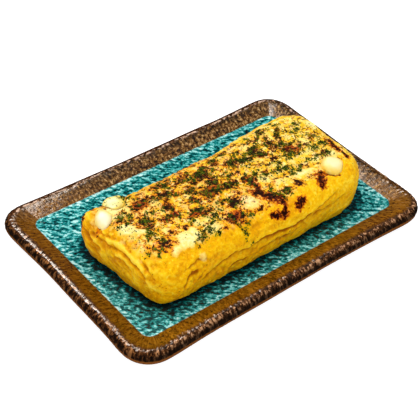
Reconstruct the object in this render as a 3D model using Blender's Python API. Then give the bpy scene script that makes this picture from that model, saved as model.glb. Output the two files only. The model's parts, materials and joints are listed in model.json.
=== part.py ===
"""A rolled omelette on its stoneware plate, with the larger dollops of mayonnaise on top of it.

The plate is a shallow rectangular dish: a flat floor, a band that slopes up round it, a thick
rounded rim and a low foot ring under the floor. The omelette is one solid loaf of rolled egg,
a little uneven all over, with the seam of its last turn along the front and a lapped fold on
its left end. The dollops lie on its upper edges and follow its skin.

Frame: metres, +Z up, origin on the table under the middle of the plate, +X along the plate's
length and -Y towards the side that the omelette's seam faces.
"""

import math

import bmesh
import bpy
from mathutils import Matrix, Vector, noise

GAP = 0.0003  # clearance between pieces that rest on each other

# Plate: sizes in plan are half sizes, measured from the plate's centre.
FLOOR_HEIGHT = 0.0095  # upper face of the floor above the table
BAND_RUN = 0.0102  # level distance from the floor's edge to the rim's centre line
RIM_HALF_LENGTH = 0.1048
RIM_HALF_WIDTH = 0.0677
RIM_RADIUS = 0.0048
RIM_LIFT = -0.0005  # height of the rim's centre line above the floor
RIM_CORNER_RADII = (0.0165, 0.0145, 0.0165, 0.0170)  # anticlockwise from +X +Y
FLOOR_CORNER_RADIUS = 0.0055
LENGTH_FLARE = 0.0026  # how much further out the ends of the short sides stand
WIDTH_FLARE = 0.0027  # the same at the ends of the long sides
HAND_WOBBLE = 0.0007  # unevenness of the hand-finished rim
SWAY_SIZE = 0.0260  # how far apart the rim's swings in and out are, and its rises and dips
LIFT_SIZE = 0.0330
COVE_RUN = 0.0012  # soft corner between floor and band
COVE_RISE = ((1.0, 0.0), (0.0, 0.15), (-1.0, 0.70))  # its points, as shares of its run
UNDER_ANGLE = math.radians(190.0)  # how far round its section the rim is a full curve
FOOT_INSET = 0.0135  # foot ring's outer face, in from the rim's centre line
FOOT_WIDTH = 0.0048
FOOT_DRAFT = 0.0010
FOOT_ROUND = 0.0007
UNDERSIDE_HEIGHT = 0.0033  # lower face of the floor above the table
CORNER_STEPS = 6
LONG_STEPS = 15
SHORT_STEPS = 9
RIM_STEPS = 12

# Omelette: the block that the loaf is rounded from.
LOAF_CENTRE_X = 0.0005
LOAF_CENTRE_Y = -0.0122
LOAF_HALF_LENGTH = 0.0845
LOAF_HALF_WIDTH = 0.0345
LOAF_HEIGHT = 0.0300
LOAF_STEP = 0.0038  # spacing of the cuts across the block
LEFT_REACH = 0.0020  # the left end is drawn in by this at its middle, and set askew by the next
LEFT_SKEW = 0.0035
BACK_SWING = 0.0054  # how far the back edge swings out towards the right end
BACK_RISE = 0.0010  # how much higher the back edge stands there
SIDE_BELLY = 0.0015  # how far the sides and ends belly out at half height
END_BELLY = 0.0022
END_UNDERCUT = 0.0019  # how far the ends are drawn in at their base
CROWN = 0.0012  # extra height along the middle of the top
CORNER_ROUNDS = {  # radius in plan of each upright corner, by its side along X and along Y
    (-1, -1): 0.0145,
    (-1, 1): 0.0120,
    (1, -1): 0.0230,
    (1, 1): 0.0170,
}
TOP_ROUND = (0.0120, 0.0110)  # how far the upper edges' rounding reaches inwards, and down
BASE_ROUND = (0.0030, 0.0045)  # the same for the lower edges, inwards and up
LUMP_SIZE = 0.0200  # the loaf's slow unevenness: how far apart its lumps are, and how high
LUMP_HEIGHT = 0.0016
SWELL_CENTRE = (-0.0825, 0.0200, 0.0375)  # fuller corner at the back of the left end
SWELL_REACH = 0.0075
SWELL_HEIGHT = 0.0019
SEAM_HEIGHT = 0.0163  # seam of the last turn, along the front: height above the loaf's base
SEAM_WAVE = 0.0013
SEAM_WIDTH = 0.0030
SEAM_DEPTH = 0.0011
SEAM_START = -0.0480  # the seam's two ends, from the loaf's middle
SEAM_END = 0.0640
FOLD_HEIGHT = 0.0235  # lapped fold on the left end: its height at the middle of that end
FOLD_DROP = 0.0060  # how much lower the fold is at the front corner
FOLD_WIDTH = 0.0032
FOLD_STAND = 0.0007
FOLD_SETBACK = 0.0010  # how far the skin below the fold is set back

# Dollops of mayonnaise: centre, half sizes and the turn of the first half size from +X.
DOLLOPS = {
    "mayonnaise_left": ((-0.0765, 0.0085, 0.0368), (0.0056, 0.0085, 0.0053), -14.0),
    "mayonnaise_back": ((-0.0650, 0.0142, 0.0380), (0.0078, 0.0062, 0.0048), 15.0),
    "mayonnaise_right": ((0.0600, -0.0325, 0.0374), (0.0084, 0.0080, 0.0060), 20.0),
}
DOLLOP_SEGMENTS = 18
DOLLOP_RINGS = 12
DOLLOP_LEAN = 0.16  # how far a dollop's top is drawn aside, as a share of its half size
DOLLOP_LUMPS = 0.0010


def clear_scene():
    for obj in list(bpy.data.objects):
        bpy.data.objects.remove(obj, do_unlink=True)


def new_collection(name):
    collection = bpy.data.collections.new(name)
    bpy.context.scene.collection.children.link(collection)
    return collection


def new_material(name, colour, roughness, metallic=0.0):
    material = bpy.data.materials.new(name)
    material.use_nodes = True
    shader = material.node_tree.nodes["Principled BSDF"]
    shader.inputs["Base Color"].default_value = (*colour, 1.0)
    shader.inputs["Roughness"].default_value = roughness
    shader.inputs["Metallic"].default_value = metallic
    return material


def new_object(name, bm, collection, material=None):
    """Makes a smooth-shaded object of the bmesh, and frees the bmesh."""
    mesh = bpy.data.meshes.new(name)
    bm.to_mesh(mesh)
    bm.free()
    mesh.shade_smooth()
    if material:
        mesh.materials.append(material)
    obj = bpy.data.objects.new(name, mesh)
    collection.objects.link(obj)
    return obj


def smoothstep(low, high, value):
    t = min(max((value - low) / (high - low), 0.0), 1.0)
    return t * t * (3.0 - 2.0 * t)


def bell(distance, width):
    return math.exp(-((distance / width) ** 2))


# ---------------------------------------------------------------- plate


def corner_arc(half_x, half_y, radius, quarter):
    """Points round one corner, anticlockwise. Quarter 0 is the corner at +X +Y."""
    side_x = (1, -1, -1, 1)[quarter]
    side_y = (1, 1, -1, -1)[quarter]
    centre = Vector((side_x * (half_x - radius), side_y * (half_y - radius)))
    angles = [math.radians(90.0 * (quarter + step / CORNER_STEPS)) for step in range(CORNER_STEPS + 1)]
    return [centre + radius * Vector((math.cos(a), math.sin(a))) for a in angles]


def rounded_rectangle(half_x, half_y, radii):
    """Points round the outline, anticlockwise, the same number whatever the size."""
    arcs = [corner_arc(half_x, half_y, radius, quarter) for quarter, radius in enumerate(radii)]
    points = []
    for quarter, arc in enumerate(arcs):
        points += arc
        steps = SHORT_STEPS if quarter % 2 else LONG_STEPS
        ahead = arcs[(quarter + 1) % 4][0]
        points += [arc[-1].lerp(ahead, step / steps) for step in range(1, steps)]
    return points


def flared(point, share):
    """Moves a point of an outline out towards the corners, as the rim's sides are a little waisted."""
    along_x = point.x / RIM_HALF_LENGTH
    along_y = point.y / RIM_HALF_WIDTH
    stretch_x = 1.0 + share * LENGTH_FLARE / RIM_HALF_LENGTH * along_y**4
    stretch_y = 1.0 + share * WIDTH_FLARE / RIM_HALF_WIDTH * along_x**4
    return Vector((point.x * stretch_x, point.y * stretch_y))


def plate_ring(bm, inset, height):
    """A ring of vertices at this distance inside the rim's centre line. Only the rim is uneven."""
    share = 1.0 - smoothstep(0.0, BAND_RUN, inset)
    inwards = min(inset / BAND_RUN, 1.0)
    radii = [radius + (FLOOR_CORNER_RADIUS - radius) * inwards for radius in RIM_CORNER_RADII]
    outline = rounded_rectangle(RIM_HALF_LENGTH - inset, RIM_HALF_WIDTH - inset, radii)
    ring = []
    for point in outline:
        place = flared(point, share)
        sway = noise.noise(Vector((place.x / SWAY_SIZE, place.y / SWAY_SIZE, 2.7)))
        lift = noise.noise(Vector((place.x / LIFT_SIZE, place.y / LIFT_SIZE, 9.1)))
        place += place.normalized() * HAND_WOBBLE * share * sway
        ring.append(bm.verts.new((place.x, place.y, height + HAND_WOBBLE * share * lift)))
    return ring


def plate_profile():
    """(inset, height) down the plate's section: floor, band, over the rim, underside, foot, recess."""
    rim_z = FLOOR_HEIGHT + RIM_LIFT
    reach = math.hypot(BAND_RUN, RIM_LIFT)
    slope = math.asin(RIM_RADIUS / reach) + math.atan2(RIM_LIFT, BAND_RUN)
    profile = [(BAND_RUN + COVE_RUN * run, FLOOR_HEIGHT + COVE_RUN * rise) for run, rise in COVE_RISE]
    for step in range(RIM_STEPS + 1):
        angle = -slope + (UNDER_ANGLE + slope) * step / RIM_STEPS
        profile.append((-RIM_RADIUS * math.sin(angle), rim_z + RIM_RADIUS * math.cos(angle)))
    foot_inner = FOOT_INSET + FOOT_WIDTH
    profile += [
        (FOOT_INSET - 2.0 * FOOT_DRAFT, UNDERSIDE_HEIGHT + FOOT_ROUND),
        (FOOT_INSET - FOOT_DRAFT, UNDERSIDE_HEIGHT - FOOT_ROUND),
        (FOOT_INSET, FOOT_ROUND),
        (FOOT_INSET + FOOT_ROUND, 0.0),
        (foot_inner - FOOT_ROUND, 0.0),
        (foot_inner, FOOT_ROUND),
        (foot_inner + FOOT_DRAFT, UNDERSIDE_HEIGHT - FOOT_ROUND),
        (foot_inner + 2.0 * FOOT_DRAFT, UNDERSIDE_HEIGHT),
    ]
    return profile


def make_plate(collection):
    bm = bmesh.new()
    rings = [plate_ring(bm, inset, height) for inset, height in plate_profile()]
    for upper, lower in zip(rings, rings[1:]):
        for i in range(len(upper)):
            j = (i + 1) % len(upper)
            bm.faces.new((upper[i], lower[i], lower[j], upper[j]))
    bm.faces.new(rings[0])
    bm.faces.new(reversed(rings[-1]))
    glaze = new_material("glazed stoneware", (0.10, 0.17, 0.14), 0.2)
    return new_object("plate", bm, collection, glaze)


# ---------------------------------------------------------------- omelette


def gridded_block(half_x, half_y, half_z, step):
    """A block cut across at even steps along each axis, so that functions can shape it."""
    bm = bmesh.new()
    bmesh.ops.create_cube(bm, size=2.0)
    bmesh.ops.scale(bm, vec=(half_x, half_y, half_z), verts=bm.verts)
    for axis, half in enumerate((half_x, half_y, half_z)):
        cuts = round(2.0 * half / step)
        normal = Vector((0.0, 0.0, 0.0))
        normal[axis] = 1.0
        for cut in range(1, cuts):
            bmesh.ops.bisect_plane(
                bm,
                geom=bm.verts[:] + bm.edges[:] + bm.faces[:],
                plane_co=normal * (half * (2.0 * cut / cuts - 1.0)),
                plane_no=normal,
            )
    return bm


def disc_from_square(a, b):
    """Moves a point of a square corner, both offsets 0 to 1, on to the quarter disc inside it."""
    length = math.hypot(a, b)
    shrink = max(a, b) / length if length else 1.0
    return a * shrink, b * shrink


def rounded_in_plan(x, y):
    """The point with the upright corners rounded, its depth inside the outline, and the way out."""
    side_x = 1 if x >= 0.0 else -1
    side_y = 1 if y >= 0.0 else -1
    radius = CORNER_ROUNDS[side_x, side_y]
    over_x = abs(x) - (LOAF_HALF_LENGTH - radius)
    over_y = abs(y) - (LOAF_HALF_WIDTH - radius)
    if over_x > 0.0 and over_y > 0.0:
        out_x, out_y = disc_from_square(over_x / radius, over_y / radius)
        place = Vector((x + side_x * (out_x * radius - over_x), y + side_y * (out_y * radius - over_y)))
        way_out = Vector((side_x * out_x, side_y * out_y))
        return place, radius * (1.0 - way_out.length), way_out.normalized()
    if over_x > over_y:
        return Vector((x, y)), radius - over_x, Vector((side_x, 0.0))
    return Vector((x, y)), radius - over_y, Vector((0.0, side_y))


def rounded(point):
    """Rounds the block: its upright corners first, then the edges round its top and its base."""
    place, depth, way_out = rounded_in_plan(point.x, point.y)
    inwards, along_z = TOP_ROUND if point.z > 0.0 else BASE_ROUND
    over_side = 1.0 - depth / inwards
    over_end = 1.0 - (LOAF_HEIGHT / 2.0 - abs(point.z)) / along_z
    height = point.z
    if over_side > 0.0 and over_end > 0.0:
        out_side, out_end = disc_from_square(over_side, over_end)
        place += way_out * (out_side - over_side) * inwards
        height -= math.copysign((over_end - out_end) * along_z, point.z)
    return Vector((place.x, place.y, height))


def loaf_outline(point):
    """The loaf in plan: its left end set askew, its back edge swinging out towards the right end."""
    along = point.x / LOAF_HALF_LENGTH
    across = point.y / LOAF_HALF_WIDTH
    point.x += (LEFT_REACH - LEFT_SKEW * across) * smoothstep(0.2, 1.0, -along)
    point.y += BACK_SWING * smoothstep(0.0, 0.7, along) * smoothstep(-1.0, 1.0, across)
    return point


def loaf_section(point):
    """The loaf across: sides and ends that belly out at half height, and a crowned top."""
    along = point.x / LOAF_HALF_LENGTH
    across = point.y / LOAF_HALF_WIDTH
    up = 2.0 * point.z / LOAF_HEIGHT
    point.y += SIDE_BELLY * across * across * across * (1.0 - up * up)
    point.x += END_BELLY * along**9 * (1.0 - up * up)
    drawn_in = smoothstep(-1.0, -0.4, across) if along < 0.0 else 1.0
    point.x -= END_UNDERCUT * along**9 * drawn_in * max(-up, 0.0) ** 2
    if up > 0.0:
        point.z += CROWN * up * (1.0 - across * across)
        point.z += BACK_RISE * up * smoothstep(0.2, 0.7, along) * smoothstep(0.0, 0.9, across)
    return point


def front_seam(point, height):
    """The groove of the last turn's edge: how far it draws the front in at this point."""
    along = point.x / LOAF_HALF_LENGTH
    seam = SEAM_HEIGHT + SEAM_WAVE * (math.sin(5.0 * along + 0.6) + 0.4 * math.sin(13.0 * along))
    fade = smoothstep(SEAM_START, SEAM_START + 3.0 * SEAM_WIDTH, point.x)
    fade *= 1.0 - smoothstep(SEAM_END - 3.0 * SEAM_WIDTH, SEAM_END, point.x)
    front = smoothstep(0.80, 0.95, -point.y / LOAF_HALF_WIDTH)
    return front * fade * SEAM_DEPTH * bell(height - seam, SEAM_WIDTH)


def left_fold(point, height):
    """The lapped fold: its ridge stands out from the left end, and the skin below it is set back."""
    towards_front = smoothstep(0.35, -1.0, point.y / LOAF_HALF_WIDTH)
    fold = FOLD_HEIGHT - FOLD_DROP * towards_front**2
    end = smoothstep(0.86, 0.96, -point.x / LOAF_HALF_LENGTH) * smoothstep(0.0, 0.4, towards_front)
    below = smoothstep(0.0, FOLD_WIDTH, fold - height) * smoothstep(0.0, 2.0 * FOLD_WIDTH, height)
    return end * (FOLD_STAND * bell(height - fold, FOLD_WIDTH) - FOLD_SETBACK * below)


def uneven_skin(bm, base):
    """Moves the skin in and out along its normals: lumps, a fuller corner, the seam and the fold."""
    bm.normal_update()
    moves = []
    for vert in bm.verts:
        local = vert.co - Vector((LOAF_CENTRE_X, LOAF_CENTRE_Y, base))
        free = smoothstep(0.0, BASE_ROUND[1], local.z)
        lump = LUMP_HEIGHT * noise.noise(vert.co / LUMP_SIZE + Vector((3.1, 7.7, 1.3)))
        swell = SWELL_HEIGHT * bell((vert.co - Vector(SWELL_CENTRE)).length, SWELL_REACH)
        relief = lump * free + swell - front_seam(local, local.z) + left_fold(local, local.z)
        moves.append(vert.normal * relief)
    for vert, move in zip(bm.verts, moves):
        vert.co += move
        vert.co.z = max(vert.co.z, base)


def make_omelette(collection, material, name="omelette"):
    bm = gridded_block(LOAF_HALF_LENGTH, LOAF_HALF_WIDTH, LOAF_HEIGHT / 2.0, LOAF_STEP)
    base = FLOOR_HEIGHT + GAP
    centre = Vector((LOAF_CENTRE_X, LOAF_CENTRE_Y, base + LOAF_HEIGHT / 2.0))
    for vert in bm.verts:
        vert.co = centre + loaf_section(loaf_outline(rounded(vert.co.copy())))
        vert.co.z = max(vert.co.z, base)
    uneven_skin(bm, base)
    return new_object(name, bm, collection, material)


# ---------------------------------------------------------------- mayonnaise


def make_loaf_cutter(collection):
    """The loaf grown by the clearance, which gives each dollop its underside."""
    cutter = make_omelette(collection, None, "loaf_cutter")
    cutter.hide_render = True
    cutter.display_type = "WIRE"
    clearance = cutter.modifiers.new("clearance", "DISPLACE")
    clearance.strength = GAP
    clearance.mid_level = 0.0
    return cutter


def make_dollop(collection, material, name, cutter):
    """A soft mound that hugs the loaf, its top drawn a little to one side."""
    centre, half_sizes, turn = DOLLOPS[name]
    bm = bmesh.new()
    bmesh.ops.create_uvsphere(bm, u_segments=DOLLOP_SEGMENTS, v_segments=DOLLOP_RINGS, radius=1.0)
    place = Matrix.Translation(centre) @ Matrix.Rotation(math.radians(turn), 4, "Z")
    for vert in bm.verts:
        way_out = vert.co.copy()
        vert.co.x += DOLLOP_LEAN * max(way_out.z, 0.0) ** 2
        vert.co = place @ Vector([size * part for size, part in zip(half_sizes, vert.co)])
        vert.co += way_out * DOLLOP_LUMPS * noise.noise(vert.co / half_sizes[0])
    dollop = new_object(name, bm, collection, material)
    underside = dollop.modifiers.new("underside", "BOOLEAN")
    underside.operation = "DIFFERENCE"
    underside.solver = "EXACT"
    underside.object = cutter
    return dollop


def main():
    clear_scene()
    parts = new_collection("rolled omelette")
    cutters = new_collection("cutters")
    egg = new_material("egg", (0.86, 0.55, 0.07), 0.55)
    mayonnaise = new_material("mayonnaise", (0.90, 0.80, 0.48), 0.35)
    make_plate(parts)
    make_omelette(parts, egg)
    cutter = make_loaf_cutter(cutters)
    for name in DOLLOPS:
        make_dollop(parts, mayonnaise, name, cutter)


main()
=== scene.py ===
"""Looks of the rolled omelette on its stoneware plate.

The plate is glazed stoneware: a teal floor that the glaze has broken into flecks, an amber band
round it and a dark ribbed rim. The omelette is folded egg with a seam along its front, wrinkles
on its left end and a browned top. On it lie thin lobes and thicker dollops of mayonnaise and a
few thousand flakes of dried green seaweed. Places in the lists are millimetres.
"""

import json
import math
import random

import bmesh
import bpy
import numpy as np
from mathutils import Matrix, Vector, noise
from mathutils.bvhtree import BVHTree

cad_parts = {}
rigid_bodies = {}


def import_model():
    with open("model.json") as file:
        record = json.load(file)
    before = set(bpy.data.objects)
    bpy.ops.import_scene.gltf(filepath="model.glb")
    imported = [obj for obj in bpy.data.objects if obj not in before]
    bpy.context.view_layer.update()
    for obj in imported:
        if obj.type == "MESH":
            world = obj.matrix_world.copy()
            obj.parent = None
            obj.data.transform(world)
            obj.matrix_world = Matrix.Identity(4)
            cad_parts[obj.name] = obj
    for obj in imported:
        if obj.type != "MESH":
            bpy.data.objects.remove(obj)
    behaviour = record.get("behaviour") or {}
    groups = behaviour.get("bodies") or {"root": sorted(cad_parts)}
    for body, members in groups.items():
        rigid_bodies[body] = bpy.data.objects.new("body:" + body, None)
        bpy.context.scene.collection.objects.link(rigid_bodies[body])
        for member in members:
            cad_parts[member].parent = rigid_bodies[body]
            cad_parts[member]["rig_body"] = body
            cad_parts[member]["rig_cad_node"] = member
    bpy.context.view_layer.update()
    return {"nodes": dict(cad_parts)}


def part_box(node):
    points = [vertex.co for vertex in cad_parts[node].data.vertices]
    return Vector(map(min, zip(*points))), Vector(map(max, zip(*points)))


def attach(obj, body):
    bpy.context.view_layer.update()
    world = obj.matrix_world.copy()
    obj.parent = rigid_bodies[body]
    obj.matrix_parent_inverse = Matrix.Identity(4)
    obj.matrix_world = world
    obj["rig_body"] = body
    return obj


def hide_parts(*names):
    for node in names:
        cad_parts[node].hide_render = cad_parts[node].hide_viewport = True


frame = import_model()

MM = 0.001
plate_low, plate_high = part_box("plate")
loaf_low, loaf_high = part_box("omelette")

# Plate: the rim's centre line in plan, and its section.
FLOOR_TOP = 9.5 * MM
RIM_HALF_LENGTH = 104.8 * MM
RIM_HALF_WIDTH = 67.7 * MM
RIM_CORNER = 16.2 * MM
RIM_RADIUS = 4.8 * MM
RIM_HEIGHT = 9.0 * MM
BAND_RUN = 10.2 * MM
LENGTH_FLARE = 2.6 * MM
WIDTH_FLARE = 2.7 * MM
RIB_PITCH = 2.9 * MM


# ---------------------------------------------------------------- work on meshes


def only(obj):
    """Selects this object alone and makes it active."""
    bpy.ops.object.select_all(action="DESELECT")
    obj.select_set(True)
    bpy.context.view_layer.objects.active = obj


def finish_with(obj, kind, **settings):
    """Adds a modifier with these settings and applies it."""
    only(obj)
    modifier = obj.modifiers.new(kind.lower(), kind)
    for name, value in settings.items():
        setattr(modifier, name, value)
    bpy.ops.object.modifier_apply(modifier=modifier.name)


def merged_copy(node, name):
    """A copy of a CAD node with its own mesh, its triangles merged and paired into quads."""
    piece = frame["nodes"][node].copy()
    piece.data = piece.data.copy()
    piece.name = name
    piece.parent = None
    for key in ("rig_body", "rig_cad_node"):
        if key in piece:
            del piece[key]
    bpy.context.scene.collection.objects.link(piece)
    only(piece)
    bpy.ops.object.mode_set(mode="EDIT")
    bpy.ops.mesh.select_all(action="SELECT")
    bpy.ops.mesh.remove_doubles(threshold=0.00001)
    bpy.ops.mesh.tris_convert_to_quads()
    bpy.ops.mesh.select_all(action="DESELECT")
    bpy.ops.object.mode_set(mode="OBJECT")
    return piece


def dissolve_flat(piece, facing, height):
    """Joins the level faces at this height that face this way into one."""
    only(piece)
    bpy.ops.object.mode_set(mode="EDIT")
    bm = bmesh.from_edit_mesh(piece.data)
    for face in bm.faces:
        middle = face.calc_center_median()
        face.select = face.normal.z * facing > 0.999 and abs(middle.z - height) < 0.1 * MM
    bm.select_flush_mode()
    bpy.ops.mesh.dissolve_faces()
    bpy.ops.mesh.select_all(action="DESELECT")
    bpy.ops.object.mode_set(mode="OBJECT")


def points_of(piece):
    places = np.empty(len(piece.data.vertices) * 3)
    piece.data.vertices.foreach_get("co", places)
    return places.reshape(-1, 3)


def normals_of(piece):
    normals = np.empty(len(piece.data.vertices) * 3, np.float32)
    piece.data.vertices.foreach_get("normal", normals)
    return normals.reshape(-1, 3).astype(float)


def set_points(piece, places):
    piece.data.vertices.foreach_set("co", np.asarray(places, np.float32).ravel())
    piece.data.update()


def keep_number(piece, name, values):
    """Stores one number for each point, for the piece's material."""
    attribute = piece.data.attributes.new(name, "FLOAT", "POINT")
    attribute.data.foreach_set("value", np.asarray(values, np.float32))


def keep_place(piece, name, places):
    """Stores one place for each point, for the piece's material."""
    attribute = piece.data.attributes.new(name, "FLOAT_VECTOR", "POINT")
    attribute.data.foreach_set("vector", np.asarray(places, np.float32).ravel())


def smoothstep(low, high, value):
    t = np.clip((value - low) / (high - low), 0.0, 1.0)
    return t * t * (3.0 - 2.0 * t)


def unevenness(places, size, seed):
    """Smooth noise from about -1 to 1, its lumps about this far apart."""
    shift = Vector((seed * 3.17, seed * 1.31, seed * 7.73))
    return np.array([noise.noise(Vector(place) + shift) for place in (places / size)])


# ---------------------------------------------------------------- materials


def paint(red, green, blue):
    """A colour given as on a screen, 0 to 255, made linear."""
    shares = [value / 255.0 for value in (red, green, blue)]
    linear = [s / 12.92 if s <= 0.04045 else ((s + 0.055) / 1.055) ** 2.4 for s in shares]
    return (*linear, 1.0)


class Recipe:
    """A material's nodes. Each call adds one node and returns its output."""

    def __init__(self, name):
        self.material = bpy.data.materials.new(name)
        self.material.use_nodes = True
        self.tree = self.material.node_tree
        self.shader = self.tree.nodes["Principled BSDF"]

    def feed(self, socket, value):
        if isinstance(value, bpy.types.NodeSocket):
            self.tree.links.new(value, socket)
        else:
            socket.default_value = value

    def set(self, **inputs):
        for name, value in inputs.items():
            self.feed(self.shader.inputs[name.replace("_", " ")], value)

    def object_place(self):
        return self.tree.nodes.new("ShaderNodeTexCoord").outputs["Object"]

    def kept(self, name, output="Fac"):
        node = self.tree.nodes.new("ShaderNodeAttribute")
        node.attribute_name = name
        return node.outputs[output]

    def mapped(self, place, scale=(1.0, 1.0, 1.0), turn=0.0):
        node = self.tree.nodes.new("ShaderNodeMapping")
        self.feed(node.inputs["Vector"], place)
        node.inputs["Scale"].default_value = scale
        node.inputs["Rotation"].default_value = (0.0, 0.0, turn)
        return node.outputs["Vector"]

    def noise(self, place, size, detail=2.0, roughness=0.5, warp=0.0):
        """Noise from 0 to 1 whose lumps are about this far apart."""
        node = self.tree.nodes.new("ShaderNodeTexNoise")
        self.feed(node.inputs["Vector"], place)
        node.inputs["Scale"].default_value = 1.0 / size
        node.inputs["Detail"].default_value = detail
        node.inputs["Roughness"].default_value = roughness
        node.inputs["Distortion"].default_value = warp
        return node.outputs["Fac"]

    def cells(self, place, size, feature="F1", output="Distance"):
        node = self.tree.nodes.new("ShaderNodeTexVoronoi")
        node.feature = feature
        self.feed(node.inputs["Vector"], place)
        node.inputs["Scale"].default_value = 1.0 / size
        return node.outputs[output]

    def maths(self, operation, first, second=0.0, third=0.0, clamp=False):
        node = self.tree.nodes.new("ShaderNodeMath")
        node.operation = operation
        node.use_clamp = clamp
        for socket, value in zip(node.inputs, (first, second, third)):
            self.feed(socket, value)
        return node.outputs["Value"]

    def spread(self, value, low, high, to_low=0.0, to_high=1.0):
        """The value moved from one range to another, and kept inside it."""
        node = self.tree.nodes.new("ShaderNodeMapRange")
        for name, number in (
            ("Value", value),
            ("From Min", low),
            ("From Max", high),
            ("To Min", to_low),
            ("To Max", to_high),
        ):
            self.feed(node.inputs[name], number)
        return node.outputs["Result"]

    def ramp(self, value, stops):
        node = self.tree.nodes.new("ShaderNodeValToRGB")
        self.feed(node.inputs["Fac"], value)
        stripes = node.color_ramp.elements
        while len(stripes) < len(stops):
            stripes.new(0.5)
        for stripe, (position, colour) in zip(stripes, stops):
            stripe.position = position
            stripe.color = colour
        return node.outputs["Color"]

    def blend(self, amount, first, second, mode="MIX"):
        node = self.tree.nodes.new("ShaderNodeMix")
        node.data_type = "RGBA"
        node.blend_type = mode
        self.feed(node.inputs["Factor"], amount)
        self.feed(node.inputs[6], first)
        self.feed(node.inputs[7], second)
        return node.outputs[2]

    def bump(self, height, depth, strength=1.0, over=None):
        node = self.tree.nodes.new("ShaderNodeBump")
        node.inputs["Strength"].default_value = strength
        node.inputs["Distance"].default_value = depth
        self.feed(node.inputs["Height"], height)
        if over is not None:
            self.feed(node.inputs["Normal"], over)
        return node.outputs["Normal"]


# ---------------------------------------------------------------- plate


def rim_line(places):
    """For each point: how far out from the rim's centre line it is, and how far round that line."""
    x = places[:, 0].copy()
    y = places[:, 1].copy()
    for _ in range(2):
        out, around = rounded_rectangle(x, y)
        share = 1.0 - smoothstep(0.0, BAND_RUN, -out)
        x = places[:, 0] / (1.0 + share * LENGTH_FLARE / RIM_HALF_LENGTH * (y / RIM_HALF_WIDTH) ** 4)
        y = places[:, 1] / (1.0 + share * WIDTH_FLARE / RIM_HALF_WIDTH * (x / RIM_HALF_LENGTH) ** 4)
    return rounded_rectangle(x, y)


def rounded_rectangle(x, y):
    """Signed distance out of the rim's centre line and the distance round it, from +X, +Y up."""
    straight_x = RIM_HALF_LENGTH - RIM_CORNER
    straight_y = RIM_HALF_WIDTH - RIM_CORNER
    over_x = np.abs(x) - straight_x
    over_y = np.abs(y) - straight_y
    in_corner = (over_x > 0.0) & (over_y > 0.0)
    out = np.maximum(over_x, over_y) - RIM_CORNER
    out = np.where(in_corner, np.hypot(over_x, over_y) - RIM_CORNER, out)
    turned = np.where(in_corner, np.arctan2(over_y, over_x), np.where(over_x > over_y, 0.0, math.pi / 2))
    quarter = (
        np.clip(np.abs(y), 0.0, straight_y) * (turned < math.pi / 2)
        + straight_y * (turned >= math.pi / 2)
        + RIM_CORNER * turned
        + (straight_x - np.clip(np.abs(x), 0.0, straight_x)) * (turned >= math.pi / 2)
    )
    whole = straight_x + straight_y + RIM_CORNER * math.pi / 2
    around = np.where(y >= 0.0, quarter, 4.0 * whole - quarter)
    around = np.where((x < 0.0) & (y >= 0.0), 2.0 * whole - quarter, around)
    around = np.where((x < 0.0) & (y < 0.0), 2.0 * whole + quarter, around)
    return out, around


def rim_length():
    straight = RIM_HALF_LENGTH + RIM_HALF_WIDTH - 2.0 * RIM_CORNER
    return 4.0 * straight + RIM_CORNER * 2.0 * math.pi


def cut_finer_round_rim(plate):
    """Cuts the band and the rim across, all the way round, so that the ribs can be raised."""
    only(plate)
    bpy.ops.object.mode_set(mode="EDIT")
    bpy.ops.mesh.select_mode(type="EDGE")
    bm = bmesh.from_edit_mesh(plate.data)
    middles = np.array([(edge.verts[0].co + edge.verts[1].co) / 2.0 for edge in bm.edges])
    out, _ = rim_line(middles)
    for edge, distance in zip(bm.edges, out):
        middle = (edge.verts[0].co + edge.verts[1].co) / 2.0
        run = (edge.verts[1].co - edge.verts[0].co).normalized()
        corner_x = max(abs(middle.x) - (RIM_HALF_LENGTH - RIM_CORNER), 0.0)
        corner_y = max(abs(middle.y) - (RIM_HALF_WIDTH - RIM_CORNER), 0.0)
        outward = Vector((math.copysign(corner_x, middle.x), math.copysign(corner_y, middle.y), 0.0))
        on_top = distance > -BAND_RUN - 1.5 * MM and middle.z > FLOOR_TOP - 0.3 * MM
        on_rim = distance > 0.0 and middle.z > RIM_HEIGHT - 5.2 * MM
        across = abs(run.dot(outward.normalized())) > 0.5 or abs(run.z) > 0.5
        edge.select = (on_top or on_rim) and not across
    bm.select_flush_mode()
    bpy.ops.mesh.subdivide(number_cuts=3)
    bpy.ops.mesh.select_all(action="DESELECT")
    bpy.ops.mesh.select_mode(type="VERT")
    bpy.ops.object.mode_set(mode="OBJECT")


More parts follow.
